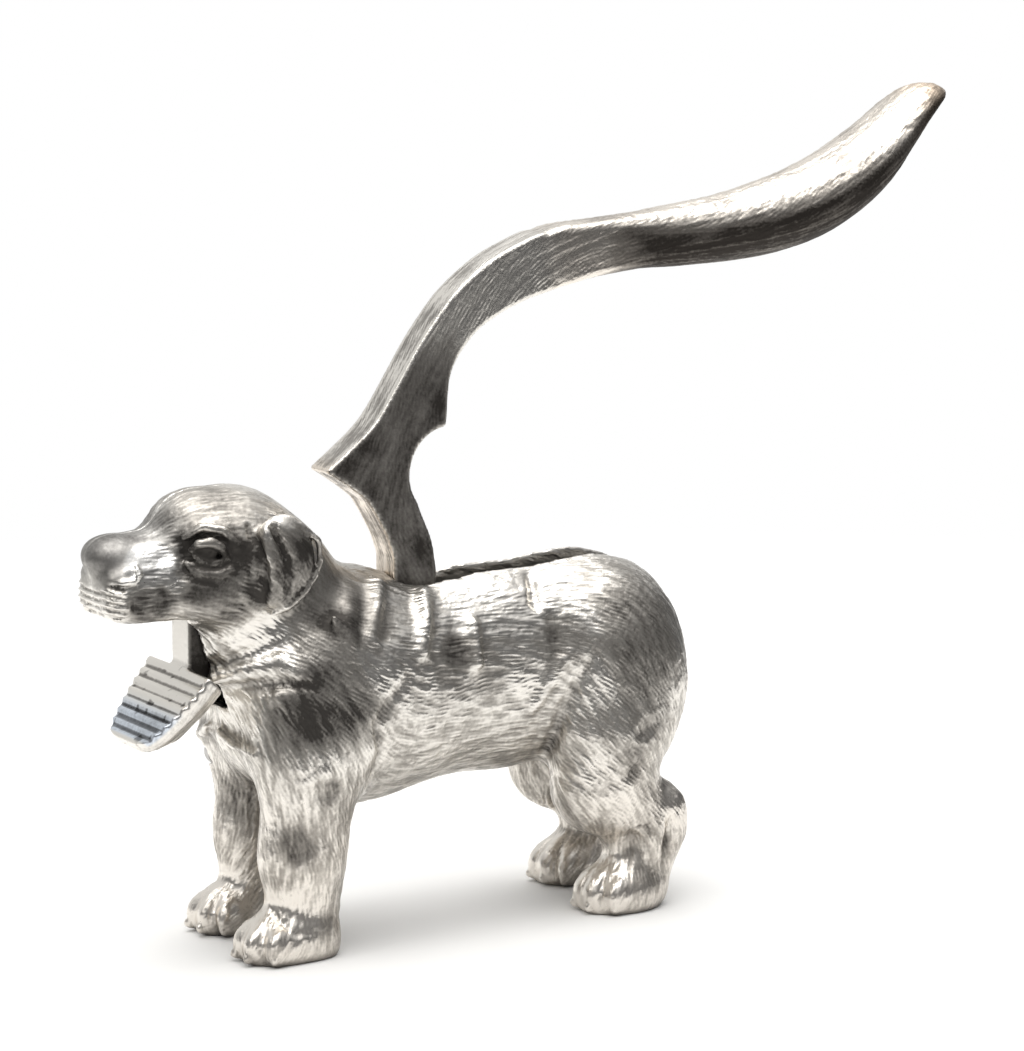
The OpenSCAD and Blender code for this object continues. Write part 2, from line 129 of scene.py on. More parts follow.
def base(p, side):
    """Main forms of the dog: the same as the solid castings."""
    y = np.abs(p[1])
    front_step, hind_step = STAGGER[side]
    step = np.where(p[0] < WHEELBASE / 2, front_step, hind_step)
    leg = (p[0] - step * ramp(p[2], 60, 34) * ramp(y, 0, 12), y, p[2])
    p = (p[0], y, p[2])
    trunk = blend(egg(p, (30, 0, 62), (37, 23, 28.5)), egg(p, (71.8, 0, 64.6), (42, 19.5, 27.2)), 10)
    trunk = blend(trunk, egg(p, HIPS, (25.5, 22, 25.5)), 10)
    trunk = blend(trunk, limb(p, (24, 0, 68), 23, (4, 0, 90), 16, 1.05), 10)
    trunk = blend(trunk, egg(p, (-2.5, 0, 78.5), (11, 14.5, 16), 20), 5)
    trunk = blend(trunk, egg(p, (29, 0, 81), (16, 12, 12.2)), 6)
    trunk = blend(trunk, egg(p, (9, 0, 96), (14.3, 15, 12.2)), 7)
    dome = blend(egg(p, SKULL, (18.5, 17.5, 17)), egg(p, SKULL + (-9.2, 0, 3.5), (12, 13, 13.2)), 3)
    snout = blend(block(p, MUZZLE, (12.5, 11, 7), 5),
                  limb(p, (-16, 0, 101), 8.2, (-32, 0, 100.7), 7.0, 0.85), 4)
    snout = blend(snout, egg(p, (-35.5, 0, 102.5), (6, 7.2, 5.1)), 2)
    head = blend(blend(dome, snout, 4), egg(p, SKULL + (-6, 9.6, -7.1), (13.5, 8.3, 8.6), 6), 4)
    head = blend(head, egg(p, MUZZLE + (-0.5, 6.4, -3.4), (10.5, 5.6, 5.2), -4), 3)
    d = blend(trunk, head, 6)
    d = blend(d, egg(p, SKULL + (7, 17.5, -0.5), (8.5, 4.2, 12.2)), 1.5)
    fore = blend(limb(leg, (12, STANCE, 48), 14, (9.5, STANCE, 26), 10.6, 1.35),
                 limb(leg, (9.5, STANCE, 26), 10.6, (9, STANCE, 10), 9.2, 1.3), 4)
    fore = blend(fore, egg(leg, (3.5, STANCE + 0.5, 4.5), (11.5, 9, 8.5)), 3)
    fore = blend(fore, egg(leg, (11, STANCE, 4), (8, 8, 9)), 3)
    d = blend(d, blend(egg(p, (14, 12.5, 60), (17, 11.5, 23)), fore, 6), 6)
    hind = blend(limb(leg, (99, STANCE - 1, 46), 17, (96.5, STANCE, 34), 13, 1.25),
                 limb(leg, (96.5, STANCE, 34), 12.5, (112, STANCE, 21.5), 9.5, 1.25), 4)
    hind = blend(hind, limb(leg, (109, STANCE, 18), 10.5, (107, STANCE, 8), 9.5, 1.35), 4)
    hind = blend(hind, egg(leg, (115.2, STANCE + 0.2, 26), (4.6, 5.4, 5)), 4)
    hind = blend(hind, egg(leg, (102, STANCE + 0.5, 4.5), (12.5, 9.5, 8.5)), 3)
    d = blend(d, blend(egg(p, (104, 11, 62), (19, 13, 25), 12), hind, 6), 6)
    muscles = blend(egg(p, (18, 18.4, 67), (12.5, 4.8, 14), -12), egg(p, (17, 19.2, 54), (9.5, 5, 12), -6), 4)
    return blend(d, blend(muscles, egg(p, (103.5, 18.9, 60), (15.5, 6.6, 18), 16), 4), 4)


def line(p, pts, r, k, d, cut=False):
    """A bead, or with cut a groove, of radius r along the points."""
    shape = cord(p, pts, [r] * len(pts) if np.isscalar(r) else r)
    return carve(d, shape, k) if cut else blend(d, shape, k)


def near(p, c, r):
    """1 at a place, falling to 0 at the distance r."""
    x, y, z = (p[i] - c[i] for i in range(3))
    return 1 - ramp(np.sqrt(x * x + y * y + z * z), 0.4 * r, r)


def sculpt_head(p, d):
    # The plane under the brow
    d = carve(d, egg(p, (-21.4, 13.6, 104.6), (5.0, 3.6, 3.6), 0, 25), 3)
    d = line(p, [(-21.5, 8.8, 103.8), (-23.6, 10.6, 98.5), (-23.0, 10.8, 93)], [0.7, 1.3, 0.9], 3, d)
    # Eye: socket, ball, upper and lower lids, the bag below and the fold above
    d = carve(d, egg(p, (-15.0, 15.6, 103.6), (4.0, 2.5, 2.6), -10, 32), 1.4)
    d = blend(d, egg(p, (-14.9, 13.2, 103.6), (2.9, 2.3, 2.2), -8, 32), 0.2)
    d = line(p, [(-19.0, 12.5, 104.4), (-17.4, 14.3, 106.0), (-14.8, 15.6, 106.3), (-12.4, 16.0, 104.9),
                 (-11.0, 16.3, 102.4)],
             [0.6, 1.2, 1.35, 1.2, 0.6], 0.7, d)
    d = line(p, [(-19.0, 12.6, 104.2), (-17.4, 14.1, 102.0), (-15.0, 15.2, 101.2), (-12.6, 16.0, 101.3),
                 (-11.0, 16.3, 102.2)],
             [0.5, 0.9, 1.0, 0.9, 0.5], 0.6, d)
    d = line(p, [(-19.8, 12.2, 101.4), (-17.2, 14.4, 99.0), (-13.6, 16.1, 98.2), (-10.4, 17.0, 99.4)],
             [0.7, 1.5, 1.5, 0.7], 1.0, d)
    d = line(p, [(-20.0, 11.0, 107.2), (-16.0, 13.0, 109.9), (-11.0, 14.9, 108.9), (-8.4, 16.5, 105.2)],
             [0.4, 0.9, 0.9, 0.5], 2.0, d)
    # Ear: a rolled front lobe, two deep folds and a thin rim
    d = blend(d, egg(p, (-0.9, 18.9, 100.0), (2.2, 2.9, 10.4), 4), 1.0)
    d = line(p, [(-4.4, 15.2, 109.4), (-4.2, 18.6, 105.4), (-3.7, 20.2, 100.4), (-3.2, 20.2, 95.4),
                 (-2.6, 18.8, 90.4)],
             [0.7, 1.5, 1.8, 1.6, 0.9], 0.8, d, True)
    d = line(p, [(-0.6, 18.8, 110.4), (1.6, 21.4, 105.4), (2.9, 22.3, 101), (3.3, 22.2, 96.4),
                 (2.9, 21.2, 91.4)],
             [0.6, 1.4, 1.7, 1.5, 0.9], 1.0, d, True)
    d = line(p, [(8.0, 19.0, 109.4), (12.6, 19.2, 105.0), (13.4, 18.8, 100.0), (11.4, 19.2, 95.8),
                 (7.9, 20.2, 92.4), (4.2, 19.8, 89.4), (0.6, 18.0, 87.6)],
             [0.5, 0.75, 0.8, 0.8, 0.8, 0.8, 0.6], 0.7, d)
    d = line(p, [(14.4, 17.6, 108), (16.4, 16.6, 101.4), (14.2, 17.8, 94.8), (10.4, 19.0, 90.6),
                 (6.2, 19.0, 87.2), (2.4, 17.6, 85.2)],
             [0.8, 1.5, 1.7, 1.7, 1.5, 1.0], 1.2, d, True)
    d = carve(d, egg(p, (-2.6, 18.4, 87.2), (2.0, 1.4, 1.4)), 1.0)
    # Nose: the leather's edge, the nostril's curl and the furrow in the middle
    d = line(p, [(-42.4, 0.0, 97.6), (-41.4, 4.0, 97.2), (-39.4, 8.2, 96.6), (-36.0, 10.9, 96.2),
                 (-33.0, 11.4, 96.8)], [0.5, 0.7, 0.75, 0.75, 0.4], 0.6, d, True)
    d = line(p, [(-36.5, 10.6, 97.4), (-33.8, 10.9, 97.8), (-31.8, 10.7, 99.4), (-32.2, 9.8, 101.6)],
             [0.5, 0.75, 0.75, 0.35], 0.8, d)
    d = carve(d, egg(p, (-34.2, 11.2, 99.3), (1.5, 1.1, 0.9), -20), 0.8)
    # Lip: ridges across the front, and a step where they end
    front = ramp(p[0], -34.9, -35.7) * ramp(p[2], 96.2, 95.2)
    waves = 0.36 * np.sin(2 * np.pi * (p[2] + 0.12 * (p[0] + 36) + 0.2 * np.sin(0.7 * p[1])) / 1.7)
    d = d + front * (waves + 0.1)
    d = line(p, [(-34.4, 12.0, 95.6), (-34.1, 12.4, 87)], 0.9, 0.6, d, True)
    return d


def sculpt_neck(p, d):
    d = line(p, [(-12.0, 7.0, 73.4), (-8.9, 11.8, 75.2), (-4.3, 15.6, 77.8), (3.0, 18.6, 80.4),
                 (9.0, 21.2, 83.5)], [0.9, 1.6, 1.6, 1.1, 0.4], 2.6, d, True)
    d = line(p, [(-10.5, 7.2, 70.8), (-4.2, 13.4, 73.2), (2.0, 17.2, 75.0), (6.4, 20.0, 72.6),
                 (13.2, 21.2, 74.4)], [1.0, 1.4, 1.4, 1.1, 0.5], 3.0, d)
    d = line(p, [(-9.5, 6.8, 67.2), (-3.0, 15.4, 69.4), (3.0, 20.4, 70.4), (9.0, 24.6, 69.6)],
             [0.7, 1.0, 0.9, 0.3], 2.2, d, True)
    d = line(p, [(1.0, 19.2, 67.0), (4.4, 21.4, 62.8)], [0.7, 0.4], 2.4, d)
    d = line(p, [(16.0, 20.8, 85.5), (19.4, 21.0, 80.5), (18.0, 21.8, 74)], [0.6, 0.9, 0.4], 3.0, d)
    # Loose skin under the jaw
    d = line(p, [(-12.0, 5.4, 86), (-10.6, 8.8, 83.0), (-10.4, 9.4, 79)], [0.6, 0.9, 0.5], 1.8, d)
    # Breast: tufts that end over the legs
    d = line(p, [(-7.5, 3.0, 56.5), (-5.6, 8.8, 53.6), (-3.2, 15.2, 52.0)], [0.8, 1.2, 0.9], 2.4, d)
    d = carve(d, egg(p, (-6.6, 8.0, 50.8), (2.6, 5.0, 1.3)), 1.8)
    d = carve(d, egg(p, (-9.4, 0.0, 58), (2.6, 2.2, 12), 4), 2.5)
    return d


def sculpt_trunk(p, d):
    # Ribs: broad soft ridges and furrows down the side
    ribs = [((25.0, 90.5), (18.8, 79.0), 0.6), ((34.5, 91.0), (25.5, 79.0), 0.6),
            ((47.6, 87.5), (40.7, 75.0), 0.8)]
    for (xa, za), (xb, zb), r in ribs:
        d = line(p, [(xa, 9.4, za), ((xa + xb) / 2, 17.4, (za + zb) / 2 + 1.5), (xb, 20.9, zb)],
                 [0.3 * r, r, 0.4 * r], 4.5, d)
    d = line(p, [(53.0, 16.4, 81.5), (51.6, 21.0, 73), (51.0, 23.0, 65)], [0.4, 1.3, 0.4], 3.0, d, True)
    d = line(p, [(50.6, 23.0, 61), (49.2, 22.0, 54), (48.4, 18.4, 46.4)], [0.4, 0.8, 0.4], 2.4, d, True)
    d = line(p, [(79.0, 9.0, 88.6), (77.0, 14.8, 82.4)], [0.5, 0.9], 2.4, d, True)
    d = line(p, [(80.2, 17.8, 78.6), (80.2, 20.6, 70.5)], [0.6, 0.9], 2.6, d, True)
    d = line(p, [(58.0, 16.8, 80), (57.0, 20.4, 70)], [0.3, 0.5], 4.0, d)
    # The crease behind the shoulder
    d = line(p, [(35.4, 24.2, 69.5), (29.0, 25.2, 63.4), (25.8, 25.2, 58), (28.0, 23.6, 51.5),
                 (25.0, 21.3, 41)], [0.3, 0.9, 1.1, 0.9, 0.5], 2.2, d, True)
    # Elbow, its hollow, and the worn spot on the leg
    d = line(p, [(5.4, 23.8, 45.6), (10.6, 25.0, 48.1), (16.0, 24.4, 45.0)], [0.5, 0.9, 0.4], 1.8, d)
    d = carve(d, egg(p, (11.4, 26.6, 42.6), (4.6, 1.8, 2.4)), 2.0)
    d = carve(d, egg(p, (3.5, 24.8, 30.3), (4.2, 1.7, 4.2)), 2.4)
    # The flank fold in front of the haunch
    d = line(p, [(89.4, 23.6, 69.4), (86.0, 22.2, 63), (82.4, 20.2, 55), (81.2, 17.4, 47.6),
                 (81.4, 12.8, 42.6)], [0.3, 0.9, 1.2, 1.2, 0.9], 2.4, d, True)
    d = line(p, [(84.0, 20.0, 69.2), (78.0, 19.3, 62.0), (74.0, 18.4, 56)], [0.3, 0.6, 0.2], 3.0, d)
    d = carve(d, egg(p, (103.8, 28.2, 49.6), (4.4, 1.5, 2.0), 25), 1.8)
    d = carve(d, egg(p, (100.1, 27.9, 38.5), (5.0, 1.8, 1.8), 25), 1.8)
    return d


def sculpt_legs(leg, d):
    # Wrist, hock and tendons
    d = line(leg, [(-1.2, 18.0, 13.4), (1.6, 24.4, 8.6), (12.5, 25.0, 7.4)], [0.5, 0.8, 0.6], 0.9, d, True)
    d = line(leg, [(19.0, 15.4, 42), (19.4, 15.4, 22), (18.2, 15.4, 12)], [1.5, 0.9, 1.2], 3, d)
    d = line(leg, [(116.0, 15.4, 22), (114.4, 15.4, 10)], [1.2, 1.2], 4, d)
    d = carve(d, egg(leg, (112.5, 23.2, 17), (1.4, 1.6, 7.0), -6), 2.5)
    d = line(leg, [(103.0, 23.6, 22.6), (105.6, 24.2, 22.2), (107.2, 24.2, 20.0)],
             [0.5, 0.9, 0.5], 0.8, d, True)
    d = carve(d, egg(leg, (101.5, 22.6, 17.5), (3.4, 2.4, 3.6)), 2.2)
    # Toes: four on each paw, with grooves between them and claws
    mid = STANCE + 0.5
    for x0 in (3.5, 102.0):
        for a in (-58, -20, 20, 58):
            s, c = math.sin(math.radians(a)), math.cos(math.radians(a))
            at = (x0 - 8.2 * c, mid + 7.2 * s, 4.6)
            d = blend(d, egg(leg, at, (4.4, 3.1, 4.9), 0, -a * 0.6), 1.0)
            tip = (x0 - 12.0 * c, mid + 9.4 * s, 2.0)
            d = blend(d, egg(leg, tip, (1.7, 0.95, 1.3), -20, -a * 0.8), 0.5)
        for a in (-39, 0, 39):
            s, c = math.sin(math.radians(a)), math.cos(math.radians(a))
            pts = [(x0 - 12.6 * c, mid + 9.8 * s, 1.0), (x0 - 12.4 * c, mid + 9.6 * s, 6.2),
                   (x0 - 7.2 * c, mid + 5.7 * s, 12.4)]
            d = line(leg, pts, [0.6, 0.6, 0.3], 1.1, d, True)
    return np.maximum(d, -leg[2])


# ---- The castings: the forms above less the hollow, the lever's slot and the screw recesses ----

HOLLOW_BOTTOM = 40.0
HOLLOW_FRONT = -14.0
EAR_INSIDE = 16.2
ARM_REACH = 18.9
SWING = math.radians(47.5)
PLATE_END = -14.6
PARTING = 0.3
RECESS_RADIUS, RECESS_START = 3.9, 14
STOP_AT = (64.73, 59.95)
CHEST_AT, HIP_AT = (2.0, 47.0), (104.0, 51.0)
# Metal left standing in the hollow: centre, radius, and the distance from the middle where it starts
POSTS = [((PIVOT[0], PIVOT[2]), 8, SLOT_HALF), (STOP_AT, 7, SLOT_HALF), (CHEST_AT, 6, 0), (HIP_AT, 6, 0),
         ((-3.5, 106.7), 4.2, 0), ((113, 59), 4.5, 0)]
# The room that the lever sweeps, seen from the side, about the pivot
LEVER_ROOM = [(0, 13), (12, 11), (30, 8.2), (43.4, 8.2), (43.4, 60), (150, 60), (150, -38), (132.3, -23),
              (112.3, -12), (75, -12), (40, -30), (20, -20)]


def polygon(x, z, pts):
    """Signed distance to a polygon in the plane of the lever."""
    best = np.full(x.shape, 1e9)
    inside = np.zeros(x.shape, bool)
    for (ax, az), (bx, bz) in zip(pts, pts[1:] + pts[:1]):
        ex, ez = bx - ax, bz - az
        wx, wz = x - ax, z - az
        t = np.clip((wx * ex + wz * ez) / (ex * ex + ez * ez), 0, 1)
        best = np.minimum(best, (wx - ex * t) ** 2 + (wz - ez * t) ** 2)
        if ez:
            inside ^= ((az > z) != (bz > z)) & (x < ax + ex * (z - az) / ez)
    return np.where(inside, -1, 1) * np.sqrt(best)


def casting(p, side):
    """The finished casting on one side, at places with positive y."""
    front_step, hind_step = STAGGER[side]
    step = np.where(p[0] < WHEELBASE / 2, front_step, hind_step)
    leg = (p[0] - step * ramp(p[2], 60, 34) * ramp(p[1], 0, 12), p[1], p[2])
    plain = base(p, side)
    d = sculpt_legs(leg, sculpt_trunk(p, sculpt_neck(p, sculpt_head(p, plain))))
    room = np.maximum(np.maximum(plain + WALL, HOLLOW_BOTTOM - p[2]), HOLLOW_FRONT - p[0])
    # No hollow in the ears
    room = np.maximum(room, p[1] - EAR_INSIDE - 30 * (1 - ramp(p[2], 84, 88)))
    for at, r, start in POSTS:
        room = np.maximum(room, -np.maximum(np.hypot(p[0] - at[0], p[2] - at[1]) - r, start - p[1]))
    x, z = p[0] - PIVOT[0], p[2] - PIVOT[2]
    slot = np.minimum(np.hypot(x, z) - ARM_REACH, polygon(x, z, LEVER_ROOM))
    d = np.maximum(d, -room)
    d = np.maximum(d, -np.maximum(slot, p[1] - SLOT_HALF))
    d = np.maximum(d, -np.maximum(x - PLATE_END, p[2] - PALATE_Z))
    if side == RIGHT:
        for at in (STOP_AT, CHEST_AT, HIP_AT):
            away = np.hypot(p[0] - at[0], p[2] - at[1])
            d = np.maximum(d, -np.maximum(away - RECESS_RADIUS, RECESS_START - p[1]))
    return np.maximum(d, -PARTING - p[1])


# ---- From a field to a mesh ----

def sample(field, lo, hi, h, coarse=3, band=3.0):
    """Field values on a grid, exact near the surface and coarse elsewhere."""
    lo = np.array(lo, float)
    count = np.ceil((np.array(hi) - lo) / (h * coarse)).astype(int)
    mid = h * (coarse - 1) / 2
    axes = [lo[i] + mid + h * coarse * np.arange(count[i]) for i in range(3)]
    rough = field(np.meshgrid(*axes, indexing="ij"))
    grid = rough.repeat(coarse, 0).repeat(coarse, 1).repeat(coarse, 2).astype(np.float32)
    cells = np.argwhere(np.abs(rough) < band)
    steps = np.stack(np.meshgrid(*[np.arange(coarse)] * 3, indexing="ij"), -1).reshape(-1, 3)
    for part in np.array_split(cells, max(1, len(cells) // 12000)):
        ijk = (part[:, None] * coarse + steps).reshape(-1, 3)
        at = lo + h * ijk
        grid[ijk[:, 0], ijk[:, 1], ijk[:, 2]] = field((at[:, 0], at[:, 1], at[:, 2]))
    return grid, lo


def corners(f):
    """The eight corners of a cell, each with its weight at the places f inside the cell."""
    for a in (0, 1):
        for b in (0, 1):
            for c in (0, 1):
                u, v, w = (f[:, i] if far else 1 - f[:, i] for i, far in enumerate((a, b, c)))
                yield a, b, c, u * v * w


class Grid:
    """Lookups in a sampled field."""

    def __init__(self, values, lo, h):
        self.v, self.lo, self.h = values, lo, h
        self.top = np.array(values.shape) - 4

    def whole(self, p):
        return np.clip(np.rint((p - self.lo) / self.h).astype(int), 3, self.top)

    def value(self, p):
        q = np.clip((p - self.lo) / self.h, 2, self.top)
        i = q.astype(int)
        out = 0
        for a, b, c, w in corners(q - i):
            out = out + w * self.v[i[:, 0] + a, i[:, 1] + b, i[:, 2] + c]
        return out

    def slope(self, p, reach=1):
        i, j, k = self.whole(p).T
        v, r = self.v, reach
        g = np.stack([v[i + r, j, k] - v[i - r, j, k], v[i, j + r, k] - v[i, j - r, k],
                      v[i, j, k + r] - v[i, j, k - r]], 1)
        return g / np.maximum(np.linalg.norm(g, axis=1, keepdims=True), 1e-6)

    def bend(self, p, reach=2):
        """Curvature: above zero on edges, below zero in creases."""
        i, j, k = self.whole(p).T
        v, r = self.v, reach
        total = (v[i + r, j, k] + v[i - r, j, k] + v[i, j + r, k] + v[i, j - r, k]
                 + v[i, j, k + r] + v[i, j, k - r])
        return (total - 6 * v[i, j, k]) / (r * self.h) ** 2


def polygons(grid, lo, h):
    """Triangles of the surface where the sampled field is zero."""
    volume = openvdb.FloatGrid(background=3.0)
    volume.copyFromArray(grid)
    points, tris, quads = volume.convertToPolygons(isovalue=0.0, adaptivity=0.0)
    faces = np.concatenate([tris, quads[:, [0, 1, 2]], quads[:, [0, 2, 3]]])
    points = lo + h * points.astype(float)
    a, b, c = (points[faces[:, i]] for i in range(3))
    if np.einsum("ij,ij->i", a, np.cross(b, c)).sum() < 0:
        faces = faces[:, ::-1]
    return points, faces


NOISE_SIZE = 64
NOISE = rng.random((NOISE_SIZE, NOISE_SIZE, NOISE_SIZE)).astype(np.float32)


def noise(p, cell):
    """Smooth noise from 0 to 1 with features of the size of cell."""
    q = p / cell
    i = np.floor(q).astype(int)
    f = q - i
    f = f * f * (3 - 2 * f)
    out = 0
    for a, b, c, w in corners(f):
        x, y, z = (i + (a, b, c)).T % NOISE_SIZE
        out = out + w * NOISE[x, y, z]
    return out


def flow(p, anchors, spread=11.0):
    """Direction of the hair or of the brush marks at each place, from the nearest anchors."""
    at = np.array([a[0] for a in anchors], float)
    way = np.array([a[1] for a in anchors], float)
    way /= np.linalg.norm(way, axis=1, keepdims=True)
    r2 = ((p[:, None, :] - at[None]) ** 2).sum(2)
    w = np.exp(-(r2 - r2.min(1, keepdims=True)) / (2 * spread**2))
    return w @ way


def strokes(points, field, anchors, cell, length, step=0.7, wander=0.3):
    """Engraved lines: noise smeared along the flow over the surface, as a height from -1 to 1."""
    total, weight = np.zeros(len(points)), 0
    count = int(length / step / 2)
    for sign in (1, -1):
        p = points.copy()
        for n in range(count):
            w = 0.5 + 0.5 * math.cos(math.pi * n / count)
            total += w * noise(p, cell)
            weight += w
            way = flow(p, anchors)
            way = way + wander * np.stack([noise(p + s, 5.0) - 0.5 for s in (0.0, 31.0, 77.0)], 1)
            normal = field.slope(p)
            way -= (way * normal).sum(1, keepdims=True) * normal
            way /= np.maximum(np.linalg.norm(way, axis=1, keepdims=True), 1e-6)
            p = p + sign * step * way
            p -= normal * np.clip(field.value(p), -0.5, 0.5)[:, None]
    total = total / weight
    total = (total - total.mean()) / total.std()
    normal = field.slope(points)
    across = np.cross(normal, flow(points, anchors))
    across /= np.maximum(np.linalg.norm(across, axis=1, keepdims=True), 1e-6)
    return np.tanh(total * 0.9), across


def make_piece(name, points, faces, layers, material, side=None):
    """A smooth mesh from points in millimetres, with one named value a point for each layer."""
    points = points.copy()
    if side == LEFT:
        points[:, 1] *= -1
        faces = faces[:, ::-1]
    points[:, 0] -= SHIFT / MM
    mesh = bpy.data.meshes.new(name)
    mesh.vertices.add(len(points))
    mesh.vertices.foreach_set("co", (points * MM).astype(np.float32).ravel())
    mesh.loops.add(3 * len(faces))
    mesh.polygons.add(len(faces))
    mesh.loops.foreach_set("vertex_index", np.ascontiguousarray(faces, np.int32).ravel())
    mesh.polygons.foreach_set("loop_start", np.arange(0, 3 * len(faces), 3, dtype=np.int32))
    mesh.polygons.foreach_set("use_smooth", np.ones(len(faces), bool))
    mesh.update(calc_edges=True)
    for key, values in layers.items():
        flat = np.ascontiguousarray(values, np.float32)
        if flat.ndim == 2:
            if side == LEFT:
                flat = flat * np.float32((1, -1, 1))
            mesh.attributes.new(key, "FLOAT_VECTOR", "POINT").data.foreach_set("vector", flat.ravel())
        else:
            mesh.attributes.new(key, "FLOAT", "POINT").data.foreach_set("value", flat)
    work = bmesh.new()
    work.from_mesh(mesh)
    bmesh.ops.dissolve_degenerate(work, dist=1e-6, edges=work.edges)
    work.to_mesh(mesh)
    work.free()
    mesh.validate()
    mesh.materials.append(material)
    obj = bpy.data.objects.new(name, mesh)
    bpy.context.scene.collection.objects.link(obj)
    return obj


# ---- Which way the hair lies: place and direction, for the side with positive y ----

HAIR = [
    ((-38, 5, 103), (1, 0.1, 0.3)), ((-28, 6, 106), (1, 0.1, 0.1)), ((-27, 11, 96), (1, 0.2, -0.25)),
    ((-33, 11, 91), (1, 0, -0.3)), ((-14, 4, 115), (1, 0, 0.5)), ((-4, 6, 118), (1, 0.1, 0)),
    ((-13, 13, 110), (1, 0.3, 0.3)), ((6, 8, 113), (1, 0.2, -0.5)), ((-10, 16, 99), (0.9, 0.3, -0.3)),
    ((-14, 14, 92), (0.9, 0.3, -0.2)), ((4, 21, 103), (0.15, 0, -1)), ((10, 19, 98), (0, 0, -1)),
    ((2, 20, 93), (0.2, 0, -1)), ((18, 8, 101), (0.9, 0.1, -0.6)), ((18, 16, 92), (0.8, 0.2, -0.6)),
    ((-6, 12, 84), (0.8, 0.4, -0.45)), ((-6, 12, 76), (0.7, 0.5, -0.6)), ((4, 19, 76), (0.7, 0.3, -0.6)),
    ((14, 22, 78), (0.7, 0.1, -0.6)), ((-9, 6, 66), (0.2, 0.4, -1)), ((-9, 5, 56), (0.1, 0.2, -1)),
    ((0, 19, 62), (0.3, 0.2, -1)), ((14, 24, 63), (0.45, 0, -1)), ((27, 24, 70), (0.7, 0, -0.8)),
    ((24, 24, 52), (0.3, 0, -1)), ((8, 24, 48), (0.05, 0, -1)), ((6, 24, 30), (0.1, 0, -1)),
    ((12, 24, 15), (0, 0, -1)), ((-3, 15, 10), (-0.8, 0, -0.6)), ((35, 10, 91), (1, 0.2, -0.3)),
    ((38, 21, 78), (1, 0, -0.3)), ((42, 22, 62), (1, 0, -0.12)), ((42, 16, 42), (1, 0, 0.05)),
    ((60, 14, 84), (1, 0, -0.15)), ((60, 20, 66), (1, 0, -0.15)), ((62, 15, 46), (1, 0, 0.12)),
    ((76, 10, 88), (1, 0, 0.05)), ((76, 19, 64), (1, 0, -0.3)), ((78, 14, 47), (1, 0, 0.2)),
    ((92, 12, 90), (1, 0.1, -0.2)), ((90, 23, 66), (0.7, 0, -0.8)), ((108, 14, 86), (0.7, 0.3, -0.7)),
    ((120, 10, 72), (0.2, 0.2, -1)), ((108, 24, 66), (0.1, 0, -1)), ((94, 24, 50), (0.5, 0, -1)),
    ((106, 24, 48), (0.4, 0, -1)), ((116, 20, 52), (-0.2, 0, -1)), ((100, 24, 36), (0.9, 0, -0.6)),
    ((112, 22, 30), (0.7, 0, -0.8)), ((110, 24, 14), (0.1, 0, -1)), ((96, 15, 10), (-0.8, 0, -0.6)),
]


# ---- Finishes ----

# Size of the cells that the finest engraved marks fill, in millimetres
MARK_SIZE = 3.6


def nodes_of(mat):
    mat.use_nodes = True
    tree = mat.node_tree
    tree.nodes.clear()
    out = tree.nodes.new("ShaderNodeOutputMaterial")
    shader = tree.nodes.new("ShaderNodeBsdfPrincipled")
    tree.links.new(shader.outputs["BSDF"], out.inputs["Surface"])
    return tree, shader


def put(tree, kind, inputs=(), **settings):
    """A node with its settings; an input is a number, a colour or another node's socket."""
    node = tree.nodes.new("ShaderNode" + kind)
    for key, value in settings.items():
        setattr(node, key, value)
    for key, value in dict(inputs).items():
        if isinstance(value, bpy.types.NodeSocket):
            tree.links.new(value, node.inputs[key])
        else:
            node.inputs[key].default_value = value
    return node


def math_node(tree, operation, *values, clamp=False):
    node = tree.nodes.new("ShaderNodeMath")
    node.operation, node.use_clamp = operation, clamp
    for socket, value in zip(node.inputs, values):
        if isinstance(value, bpy.types.NodeSocket):
            tree.links.new(value, socket)
        else:
            socket.default_value = value
    return node.outputs[0]


def colour_ramp(tree, factor, stops):
    node = tree.nodes.new("ShaderNodeValToRGB")
    tree.links.new(factor, node.inputs["Fac"])
    bar = node.color_ramp
    while len(bar.elements) < len(stops):
        bar.elements.new(0.5)
    for element, (at, colour) in zip(bar.elements, stops):
        element.position, element.color = at, (*colour, 1)
    return node.outputs["Color"]


